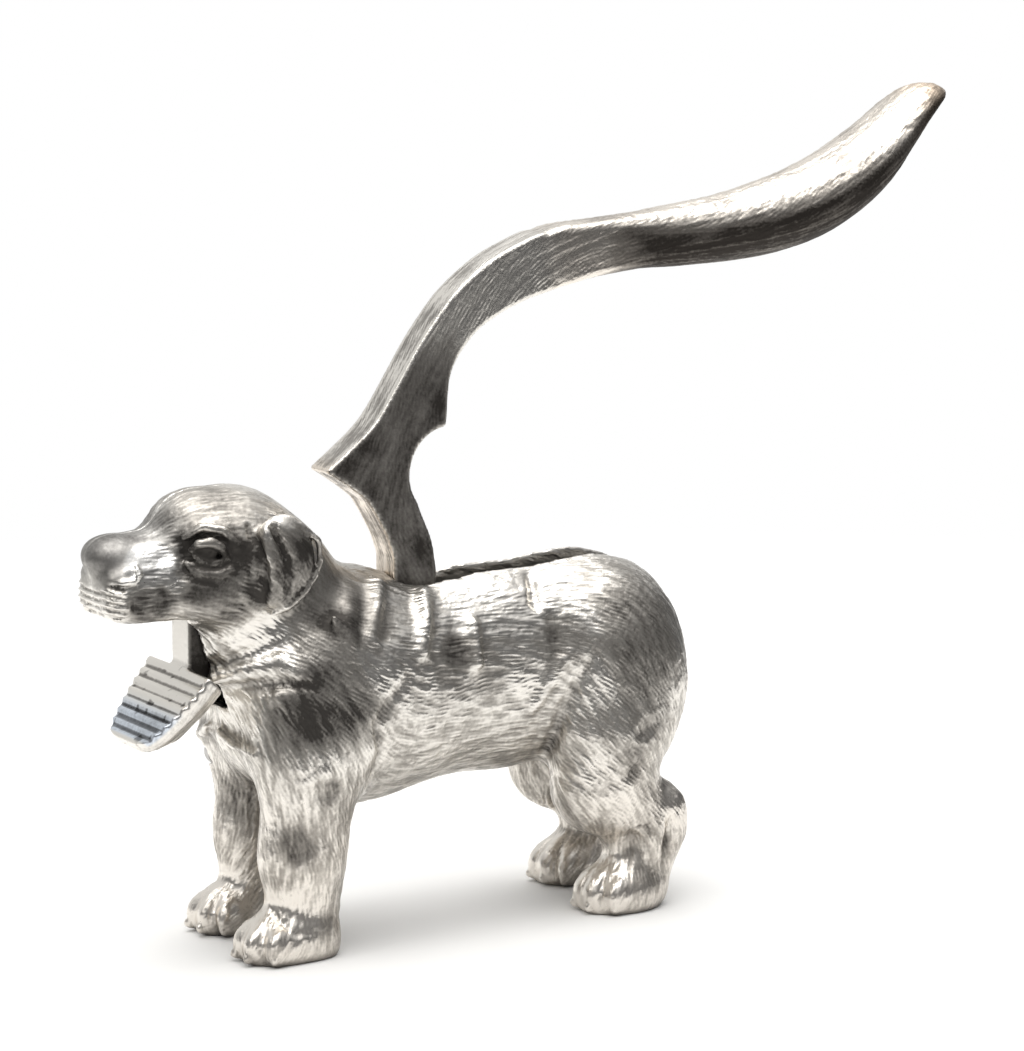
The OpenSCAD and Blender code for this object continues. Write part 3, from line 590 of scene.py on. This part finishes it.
def silver(name, clean, dull, dark, rough, pitch=1.05, depth=0.9):
    """Worn silver plate: the piece's own patina and strokes values darken and roughen it, and the patina
    value also carries painted shade, painted reflections and painted highlights. A tint of 0 is bluish, 0.5
    plain and 1 coppery, and it also carries a painted bluish reflection."""
    mat = bpy.data.materials.new(name)
    tree, shader = nodes_of(mat)
    patina_and_painted_light = put(tree, "Attribute", attribute_name="patina_and_painted_light").outputs["Fac"]
    marks = put(tree, "Attribute", attribute_name="strokes").outputs["Fac"]
    place = put(tree, "TexCoord").outputs["Object"]
    cloud = put(tree, "TexNoise", {"Vector": place, "Scale": 70.0, "Detail": 4.0,
                                   "Roughness": 0.6}).outputs["Fac"]
    fine = put(tree, "TexNoise", {"Vector": place, "Scale": 900.0, "Detail": 3.0,
                                  "Roughness": 0.65}).outputs["Fac"]
    speck = put(tree, "TexVoronoi", {"Vector": place, "Scale": 420.0}).outputs["Distance"]
    coat = put(tree, "Attribute", attribute_name="coat").outputs["Fac"]
    across = put(tree, "Attribute", attribute_name="across").outputs["Vector"]
    hair = put(tree, "TexGabor", {"Vector": place, "Orientation": across, "Anisotropy": 0.84,
                                  "Scale": 1 / MM / MARK_SIZE, "Frequency": MARK_SIZE / pitch},
               gabor_type="3D").outputs["Value"]
    hair = math_node(tree, "MULTIPLY", math_node(tree, "SUBTRACT", hair, 0.5), coat)
    # Dirt from noise and strokes, together with the painted shade, reflections and highlights that the patina
    # value brings
    dirt_and_painted_light = math_node(tree, "MULTIPLY_ADD", cloud, 0.6, patina_and_painted_light)
    dirt_and_painted_light = math_node(tree, "MULTIPLY_ADD", fine, 0.4, dirt_and_painted_light)
    dirt_and_painted_light = math_node(tree, "MULTIPLY_ADD", marks, -0.19, dirt_and_painted_light)
    dirt_and_painted_light = math_node(tree, "MULTIPLY_ADD", hair, -0.46, dirt_and_painted_light)
    dirt_and_painted_light = math_node(tree, "SUBTRACT", dirt_and_painted_light, 0.5, clamp=True)
    colour = colour_ramp(tree, dirt_and_painted_light, [(0.0, clean), (0.35, dull), (0.95, dark)])
    tint_and_painted_reflection = put(tree, "Attribute", attribute_name="tint_and_painted_reflection").outputs["Fac"]
    cast = colour_ramp(tree, tint_and_painted_reflection, [(0.0, (0.80, 0.92, 1.12)), (0.5, (1.0, 1.0, 1.0)),
                                    (1.0, (1.1, 0.9, 0.72))])
    mixed = put(tree, "Mix", {0: 1.0, 6: colour, 7: cast}, data_type="RGBA", blend_type="MULTIPLY")
    tree.links.new(mixed.outputs[2], shader.inputs["Base Color"])
    shader.inputs["Metallic"].default_value = 1.0
    rough_now = math_node(tree, "MULTIPLY_ADD", dirt_and_painted_light, 0.34, rough)
    rough_now = math_node(tree, "MULTIPLY_ADD", fine, 0.1, rough_now)
    tree.links.new(rough_now, shader.inputs["Roughness"])
    pit = math_node(tree, "SUBTRACT", 0.28, speck, clamp=True)
    height = math_node(tree, "MULTIPLY_ADD", pit, -1.0, math_node(tree, "MULTIPLY", fine, 0.5))
    height = math_node(tree, "MULTIPLY_ADD", hair, depth, height)
    bump = put(tree, "Bump", {"Strength": 0.45, "Distance": 0.0003, "Height": height})
    tree.links.new(bump.outputs["Normal"], shader.inputs["Normal"])
    return mat


def turned(name, colour, dark, rough):
    """Plain turned metal: fine rings and light stains."""
    mat = bpy.data.materials.new(name)
    tree, shader = nodes_of(mat)
    place = put(tree, "TexCoord").outputs["Object"]
    spread = put(tree, "Mapping", {"Vector": place, "Scale": (1.0, 0.05, 1.0)}).outputs["Vector"]
    rings = put(tree, "TexNoise", {"Vector": spread, "Scale": 900.0, "Detail": 2.0}).outputs["Fac"]
    cloud = put(tree, "TexNoise", {"Vector": place, "Scale": 260.0, "Detail": 4.0}).outputs["Fac"]
    tree.links.new(colour_ramp(tree, cloud, [(0.3, colour), (0.72, dark)]), shader.inputs["Base Color"])
    shader.inputs["Metallic"].default_value = 1.0
    tree.links.new(math_node(tree, "MULTIPLY_ADD", cloud, 0.25, rough), shader.inputs["Roughness"])
    bump = put(tree, "Bump", {"Strength": 0.25, "Distance": 0.0002, "Height": rings})
    tree.links.new(bump.outputs["Normal"], shader.inputs["Normal"])
    return mat


# ---- Pieces ----

CLEAN = (0.80, 0.775, 0.73)
BODY_SILVER = silver("body_silver", CLEAN, (0.43, 0.41, 0.38), (0.07, 0.065, 0.06), 0.24)
LEVER_SILVER = silver("lever_silver", CLEAN, (0.33, 0.315, 0.295), (0.055, 0.05, 0.046), 0.27, 1.0, 0.8)

# Places of the castings that a positive amount darkens and a negative amount lightens: centre, reach and
# amount, for the side with positive y. They hold tarnish along with painted shade, painted reflections and
# painted highlights.
TARNISH_AND_PAINTED_LIGHT = [
    ((-37, 4, 105), 13, 0.5), ((-25, 5, 108), 9, 0.3), ((-28.5, 9, 101), 7.5, -1.0),
    ((-29, 12, 92), 8, 0.65), ((-22.5, 12, 96), 3.8, -0.5), ((-12, 9, 113), 16, 0.36),
    ((-13, 17, 96), 16, 0.62), ((-18, 15, 98), 9, 0.2), ((-14.8, 14.4, 103.7), 3.4, 0.35),
    ((-19, 11, 106), 5, 0.4), ((-9, 16.5, 102), 6, 0.36), ((-13, 14, 110), 5, -0.3),
    ((-4, 17.6, 104), 4.5, 0.5), ((-2.6, 18.6, 93), 5, 0.3), ((3, 21.4, 104), 8, 0.5),
    ((3, 21, 95), 7, 0.45), ((10, 20.4, 102), 6, 0.5), ((18, 16, 89), 14, 0.42), ((15, 21, 79), 12, 0.26),
    ((4, 22.5, 61), 11, 0.36), ((26, 18, 84), 11, 0.26), ((13, 25, 65), 16, 0.64), ((3, 23, 30), 6, 0.4),
    ((12, 26, 43), 6, 0.26), ((52, 20, 73), 7, 0.4), ((57, 20, 68), 15, 0.2), ((82, 19.5, 73), 10, 0.26),
    ((103, 23, 72), 17, 0.42), ((98, 16, 86), 13, 0.3), ((101, 27, 52), 13, 0.28), ((98, 27, 41), 6, 0.3),
    ((6, 7, 40), 12, 0.3), ((47, 14, 84), 7, -0.16), ((75, 13, 86), 14, -0.5), ((60, 14, 82), 10, -0.42),
    ((-1, 18, 69), 6, 0.1), ((2, 17, 9), 12, -0.6), ((-4, 16, 7), 8, -0.5), ((95, 16, 7), 12, -0.75),
    ((114, 22, 26), 8, -0.35), ((6, 22, 30), 14, 0.1), ((0, 14, 82), 9, -0.3),
]

CASTING_BOX = (-45.5, -2.4, -2.4), (131.0, 32.0, 121.0)
BEND_LIMIT = 1.2
HAIR_CELL, HAIR_LENGTH, HAIR_DEPTH = 0.75, 8.5, 0.14

for side, name, node in ((LEFT, "left_sculpt", "left_body"), (RIGHT, "right_sculpt", "right_body")):
    values, origin = sample(lambda p: casting(p, side), *CASTING_BOX, VOXEL)
    field = Grid(values, origin, VOXEL)
    points, faces = polygons(values, origin, VOXEL)
    form = (points[:, 0], points[:, 1], points[:, 2])
    depth = base(form, side)
    skin = ramp(depth, -3.0, -1.6) * ramp(points[:, 2], 0.3, 2.5)
    ball = near(form, (-35, 3, 104), 13) + near(form, (-14.8, 13.5, 103.6), 4.6)
    ball = ball + 0.6 * near(form, (-14, 17, 95), 8)
    lip = ramp(form[0], -33.5, -35.5) * ramp(form[2], 98, 96)
    paws = ramp(form[2], 13, 8)
    worn = 0.6 * near(form, (20, 16, 90), 17) + 0.35 * near(form, (-8, 8, 112), 20)
    mask = skin * np.clip(1 - ball - lip - worn, 0, 1) * (1 - 0.35 * paws)
    marks, across = strokes(points, field, HAIR, HAIR_CELL, HAIR_LENGTH)
    bend = np.clip(field.bend(points), -BEND_LIMIT, BEND_LIMIT)
    out = field.slope(points)
    points = points + out * (HAIR_DEPTH * marks * mask)[:, None]
    cloud = noise(points, 9.0) - 0.5
    # Patina darkens the creases and the rubbed edges are lighter. The inside of the hollow, the slot walls
    # and the soles are painted dark as shade, the body below 66 mm gets more painted shade, and the listed
    # places add tarnish, painted shade, painted reflections and painted highlights.
    patina_and_painted_light = 0.1 - 0.55 * np.minimum(bend, 0) - 0.14 * np.maximum(bend, 0) + 0.34 * cloud + 0.42 * (1 - skin)
    patina_and_painted_light = patina_and_painted_light + 0.12 * ramp(form[2], 66, 50)
    for at, reach, amount in TARNISH_AND_PAINTED_LIGHT:
        patina_and_painted_light = patina_and_painted_light + amount * near(form, at, reach)
    # The top of the muzzle gets a bluish cast, a painted reflection; the metal is a little warmer towards the
    # bottom.
    tint_and_painted_reflection = 0.52 + 0.05 * ramp(form[2], 60, 20) - 0.1 * ramp(form[2], 92, 104) * ramp(form[0], -16, -26)
    layers = {"strokes": marks * mask, "patina_and_painted_light": patina_and_painted_light, "tint_and_painted_reflection": tint_and_painted_reflection, "coat": mask, "across": across}
    piece = make_piece(name, points, faces, layers, BODY_SILVER, side)
    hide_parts(node)
    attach(piece, "dog")

# ---- The lever: the solid one with softer edges and marks along its length ----

# Which way the marks lie: place and direction
GRAIN = [
    ((28, 0, 110), (1, 0, 1)), ((45, 0, 135), (0.65, 0, 1)), ((62, 0, 158), (0.75, 0, 1)),
    ((85, 0, 172), (1, 0, 0.5)), ((110, 0, 172), (1, 0, 0.1)), ((140, 0, 174), (1, 0, 0.15)),
    ((165, 0, 182), (1, 0, 0.4)), ((185, 0, 195), (1, 0, 0.75)), ((205, 0, 205), (1, 0, 0.5)),
    ((55, 0, 125), (0.3, 0, 1)), ((50, 0, 100), (-0.3, 0, 1)), ((40, 0, 85), (-0.5, 0, 1)),
    ((10, 0, 82), (1, 0, 0)), ((-15, 0, 78), (0, 0, 1)), ((-22, 0, 65), (1, 0, 1)),
    ((-35, 0, 58), (1, 0, 1)),
]
LEVER_VOXEL, MARGIN, BAND = 0.5, 4, 5
BRUSH_CELL, BRUSH_LENGTH, BRUSH_DEPTH, CRINKLE_DEPTH = 0.7, 22.0, 0.06, 0.22

mesh = nodes["tail_lever"].data
mesh.calc_loop_triangles()
co = np.zeros(len(mesh.vertices) * 3, np.float32)
mesh.vertices.foreach_get("co", co)
tri = np.zeros(len(mesh.loop_triangles) * 3, np.int32)
mesh.loop_triangles.foreach_get("vertices", tri)
co = co.reshape(-1, 3) / MM + (SHIFT / MM, 0, 0)
lo = co.min(0) - MARGIN
grid = openvdb.FloatGrid.createLevelSetFromPolygons(
    ((co - lo) / LEVER_VOXEL).astype(np.float32), triangles=tri.reshape(-1, 3), halfWidth=float(BAND))
size = np.ceil((co.max(0) - lo + MARGIN) / LEVER_VOXEL).astype(int)
values = np.full(size, float(BAND), np.float32)
grid.copyToArray(values)
soft = values * np.float32(LEVER_VOXEL)
for axis in range(3):
    soft = 0.25 * np.roll(soft, 1, axis) + 0.5 * soft + 0.25 * np.roll(soft, -1, axis)
points, faces = polygons(soft, lo, LEVER_VOXEL)
field = Grid(soft, lo, LEVER_VOXEL)
marks, across = strokes(points, field, GRAIN, BRUSH_CELL, BRUSH_LENGTH, wander=0.12)
bend = np.clip(field.bend(points), -BEND_LIMIT, BEND_LIMIT)
out = field.slope(points)
side_on = np.abs(out[:, 1])
cloud = noise(points, 7.0) - 0.5
x, z = points[:, 0] - PIVOT[0], points[:, 2] - PIVOT[2]
along, over = x * math.cos(SWING) + z * math.sin(SWING), z * math.cos(SWING) - x * math.sin(SWING)
plate = ramp(along, -14.6, -15.4) * ramp(over, -3, -1.5)
tail, under = ramp(x, 84, 96), ramp(x, 92, 120)
hollow = ramp(out[:, 0], -0.3, -0.7) * ramp(z, 42, 38) * ramp(x, 14, 20)
# Patina darkens the creases and rubbed edges are lighter. The sides are painted with shade low down and with
# a highlight higher up, the underside of the tail is painted with shade, the concave face is a little darker
# and the tail a little lighter.
patina_and_painted_light = 0.16 - 0.5 * np.minimum(bend, 0) - 0.4 * np.maximum(bend, 0) + 0.35 * cloud
patina_and_painted_light += side_on * (1 - under) * (0.62 - 1.25 * ramp(z, 58, 78))
patina_and_painted_light += under * 0.85 * ramp(out[:, 2], 0.35, -0.05) - 0.04 * tail + 0.1 * hollow
# On the jaw plate the top is painted lighter as a highlight and the lower end of the top painted darker as a
# reflection; the darker creases and the dark chips on the top are patina and wear.
top = plate * ramp(over, 3.4, 4.0)
low = ramp(along, -25, -30) * ramp(along, -37.2, -36.4)
chips = ramp(noise(points, 1.7), 0.7, 0.82)
on_plate = 0.1 - 0.42 * top - 0.9 * np.minimum(bend, 0) + 0.38 * low * top + 0.42 * chips * top
patina_and_painted_light = np.where(plate > 0.5, on_plate, patina_and_painted_light)
# The arm's sides are painted black as shade inside the slot; its front is left clean.
arm = ramp(x, -3, -8) * ramp(over, -12, -8) * (1 - plate)
patina_and_painted_light = patina_and_painted_light * (1 - arm) + 0.9 * arm * side_on
# The lower end of the plate's top gets a bluish cast, a painted reflection; the concave face, the tail and
# its tip are more coppery.
tint_and_painted_reflection = 0.52 + 0.16 * hollow + 0.3 * ramp(x, 196, 210) + 0.08 * tail - 0.42 * top * low
coat = np.where(plate > 0.5, 0.9 * (1 - top) * ramp(over, 4.2, 3.0), 1 - arm)
coat = coat * (1 - 0.6 * side_on * ramp(z, 74, 60)) * (1 - 0.35 * tail)
marks = marks * coat
crinkle = (noise(points, 1.1) - 0.5) * tail * ramp(out[:, 2], 0.1, 0.5)
relief = BRUSH_DEPTH * marks * (1 + tail + 2.2 * plate) + CRINKLE_DEPTH * crinkle
points = points + out * relief[:, None]
layers = {"strokes": marks, "patina_and_painted_light": patina_and_painted_light, "tint_and_painted_reflection": tint_and_painted_reflection, "coat": coat, "across": across}
lever = make_piece("lever_sculpt", points, faces, layers, LEVER_SILVER)
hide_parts("tail_lever")
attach(lever, "lever")

# ---- The fasteners keep their own shapes ----

STEEL = turned("turned_steel", (0.62, 0.61, 0.60), (0.30, 0.29, 0.28), 0.2)
BRONZE = turned("plain_bronze", (0.62, 0.42, 0.22), (0.30, 0.18, 0.09), 0.28)
for name, node in nodes.items():
    if name in ("left_body", "right_body", "tail_lever"):
        continue
    finish = BRONZE if "washer" in name else STEEL
    if not node.material_slots:
        node.data.materials.append(finish)
    for slot in node.material_slots:
        slot.material = finish

# ---- Floor, light and camera ----

FLOOR_RADIUS, FLOOR_SIDES = 1.2, 64
floor_mesh = bpy.data.meshes.new("floor")
turns = np.linspace(0, 2 * math.pi, FLOOR_SIDES + 1)[:-1]
ring = [(FLOOR_RADIUS * math.cos(t), FLOOR_RADIUS * math.sin(t), 0) for t in turns]
floor_mesh.from_pydata(ring, [], [list(range(FLOOR_SIDES))])
floor = bpy.data.objects.new("floor", floor_mesh)
bpy.context.scene.collection.objects.link(floor)
paper = bpy.data.materials.new("paper")
tree, shader = nodes_of(paper)
shader.inputs["Base Color"].default_value = (0.87, 0.87, 0.865, 1)
shader.inputs["Roughness"].default_value = 0.9
shader.inputs["Specular IOR Level"].default_value = 0.1
place = put(tree, "TexCoord").outputs["Object"]
radius = put(tree, "VectorMath", {0: place}, operation="LENGTH").outputs["Value"]
edge = put(tree, "MapRange", {"Value": radius, "From Min": 0.3, "From Max": 0.6,
                              "To Min": 1.0, "To Max": 0.0},
           interpolation_type="SMOOTHSTEP").outputs["Result"]
tree.links.new(edge, shader.inputs["Alpha"])
floor_mesh.materials.append(paper)


def lamp(name, kind, energy, place, target=(0, 0, 0.08), **settings):
    data = bpy.data.lights.new(name, kind)
    data.energy = energy
    for key, value in settings.items():
        setattr(data, key, value)
    obj = bpy.data.objects.new(name, data)
    obj.location = place
    obj.rotation_euler = (Vector(target) - Vector(place)).to_track_quat("-Z", "Y").to_euler()
    bpy.context.scene.collection.objects.link(obj)
    return obj


lamp("key", "SUN", 1.9, (-0.12, -0.2, 1.6), angle=math.radians(60), color=(1.0, 0.985, 0.96))
lamp("top_box", "AREA", 4.2, (0.1, 0.25, 1.15), size=0.9, color=(1.0, 0.99, 0.97))
lamp("left_box", "AREA", 1.2, (-1.0, -0.15, 0.7), size=0.4, color=(1.0, 0.985, 0.95))

world = bpy.data.worlds.new("studio")
bpy.context.scene.world = world
world.use_nodes = True
tree = world.node_tree
tree.nodes.clear()
out = tree.nodes.new("ShaderNodeOutputWorld")
sky = tree.nodes.new("ShaderNodeBackground")
white = put(tree, "Background", {"Color": (1, 1, 1, 1), "Strength": 1.0})
height = put(tree, "SeparateXYZ", {"Vector": put(tree, "TexCoord").outputs["Generated"]}).outputs["Z"]
height = math_node(tree, "MULTIPLY_ADD", height, 0.5, 0.5)
shade = colour_ramp(tree, height, [(0.0, (0.10, 0.10, 0.10)), (0.5, (0.07, 0.07, 0.072)),
                                   (0.62, (0.10, 0.10, 0.105)), (0.7, (0.20, 0.20, 0.20)),
                                   (0.8, (0.55, 0.55, 0.55)), (0.9, (0.85, 0.85, 0.85))])
behind = put(tree, "SeparateXYZ", {"Vector": put(tree, "TexCoord").outputs["Generated"]}).outputs["Y"]
behind = put(tree, "MapRange", {"Value": behind, "From Min": 0.35, "From Max": 0.8},
             interpolation_type="SMOOTHSTEP").outputs["Result"]
shade = put(tree, "Mix", {0: behind, 6: shade, 7: (0.8, 0.8, 0.79, 1)}, data_type="RGBA").outputs[2]
tree.links.new(shade, sky.inputs["Color"])
seen = put(tree, "LightPath").outputs["Is Camera Ray"]
mix = put(tree, "MixShader", {0: seen, 1: sky.outputs[0], 2: white.outputs[0]})
tree.links.new(mix.outputs[0], out.inputs["Surface"])

SENSOR, FOCAL_PIXELS, IMAGE_HEIGHT = 36, 4290, 1051
AZIMUTH, ELEVATION, DISTANCE = math.radians(30.55), math.radians(9.65), 1.1
target = Vector((-0.00724, 0, 0.10014))
back = Vector((-math.sin(AZIMUTH) * math.cos(ELEVATION), -math.cos(AZIMUTH) * math.cos(ELEVATION),
               math.sin(ELEVATION)))
lens = bpy.data.cameras.new("camera")
lens.sensor_width = SENSOR
lens.sensor_fit = "AUTO"
lens.lens = FOCAL_PIXELS * SENSOR / IMAGE_HEIGHT
lens.clip_end = 50
camera = bpy.data.objects.new("camera", lens)
camera.location = target + back * DISTANCE
camera.rotation_euler = (-back).to_track_quat("-Z", "Y").to_euler()
bpy.context.scene.collection.objects.link(camera)
bpy.context.scene.camera = camera
bpy.context.scene.view_settings.view_transform = "Standard"
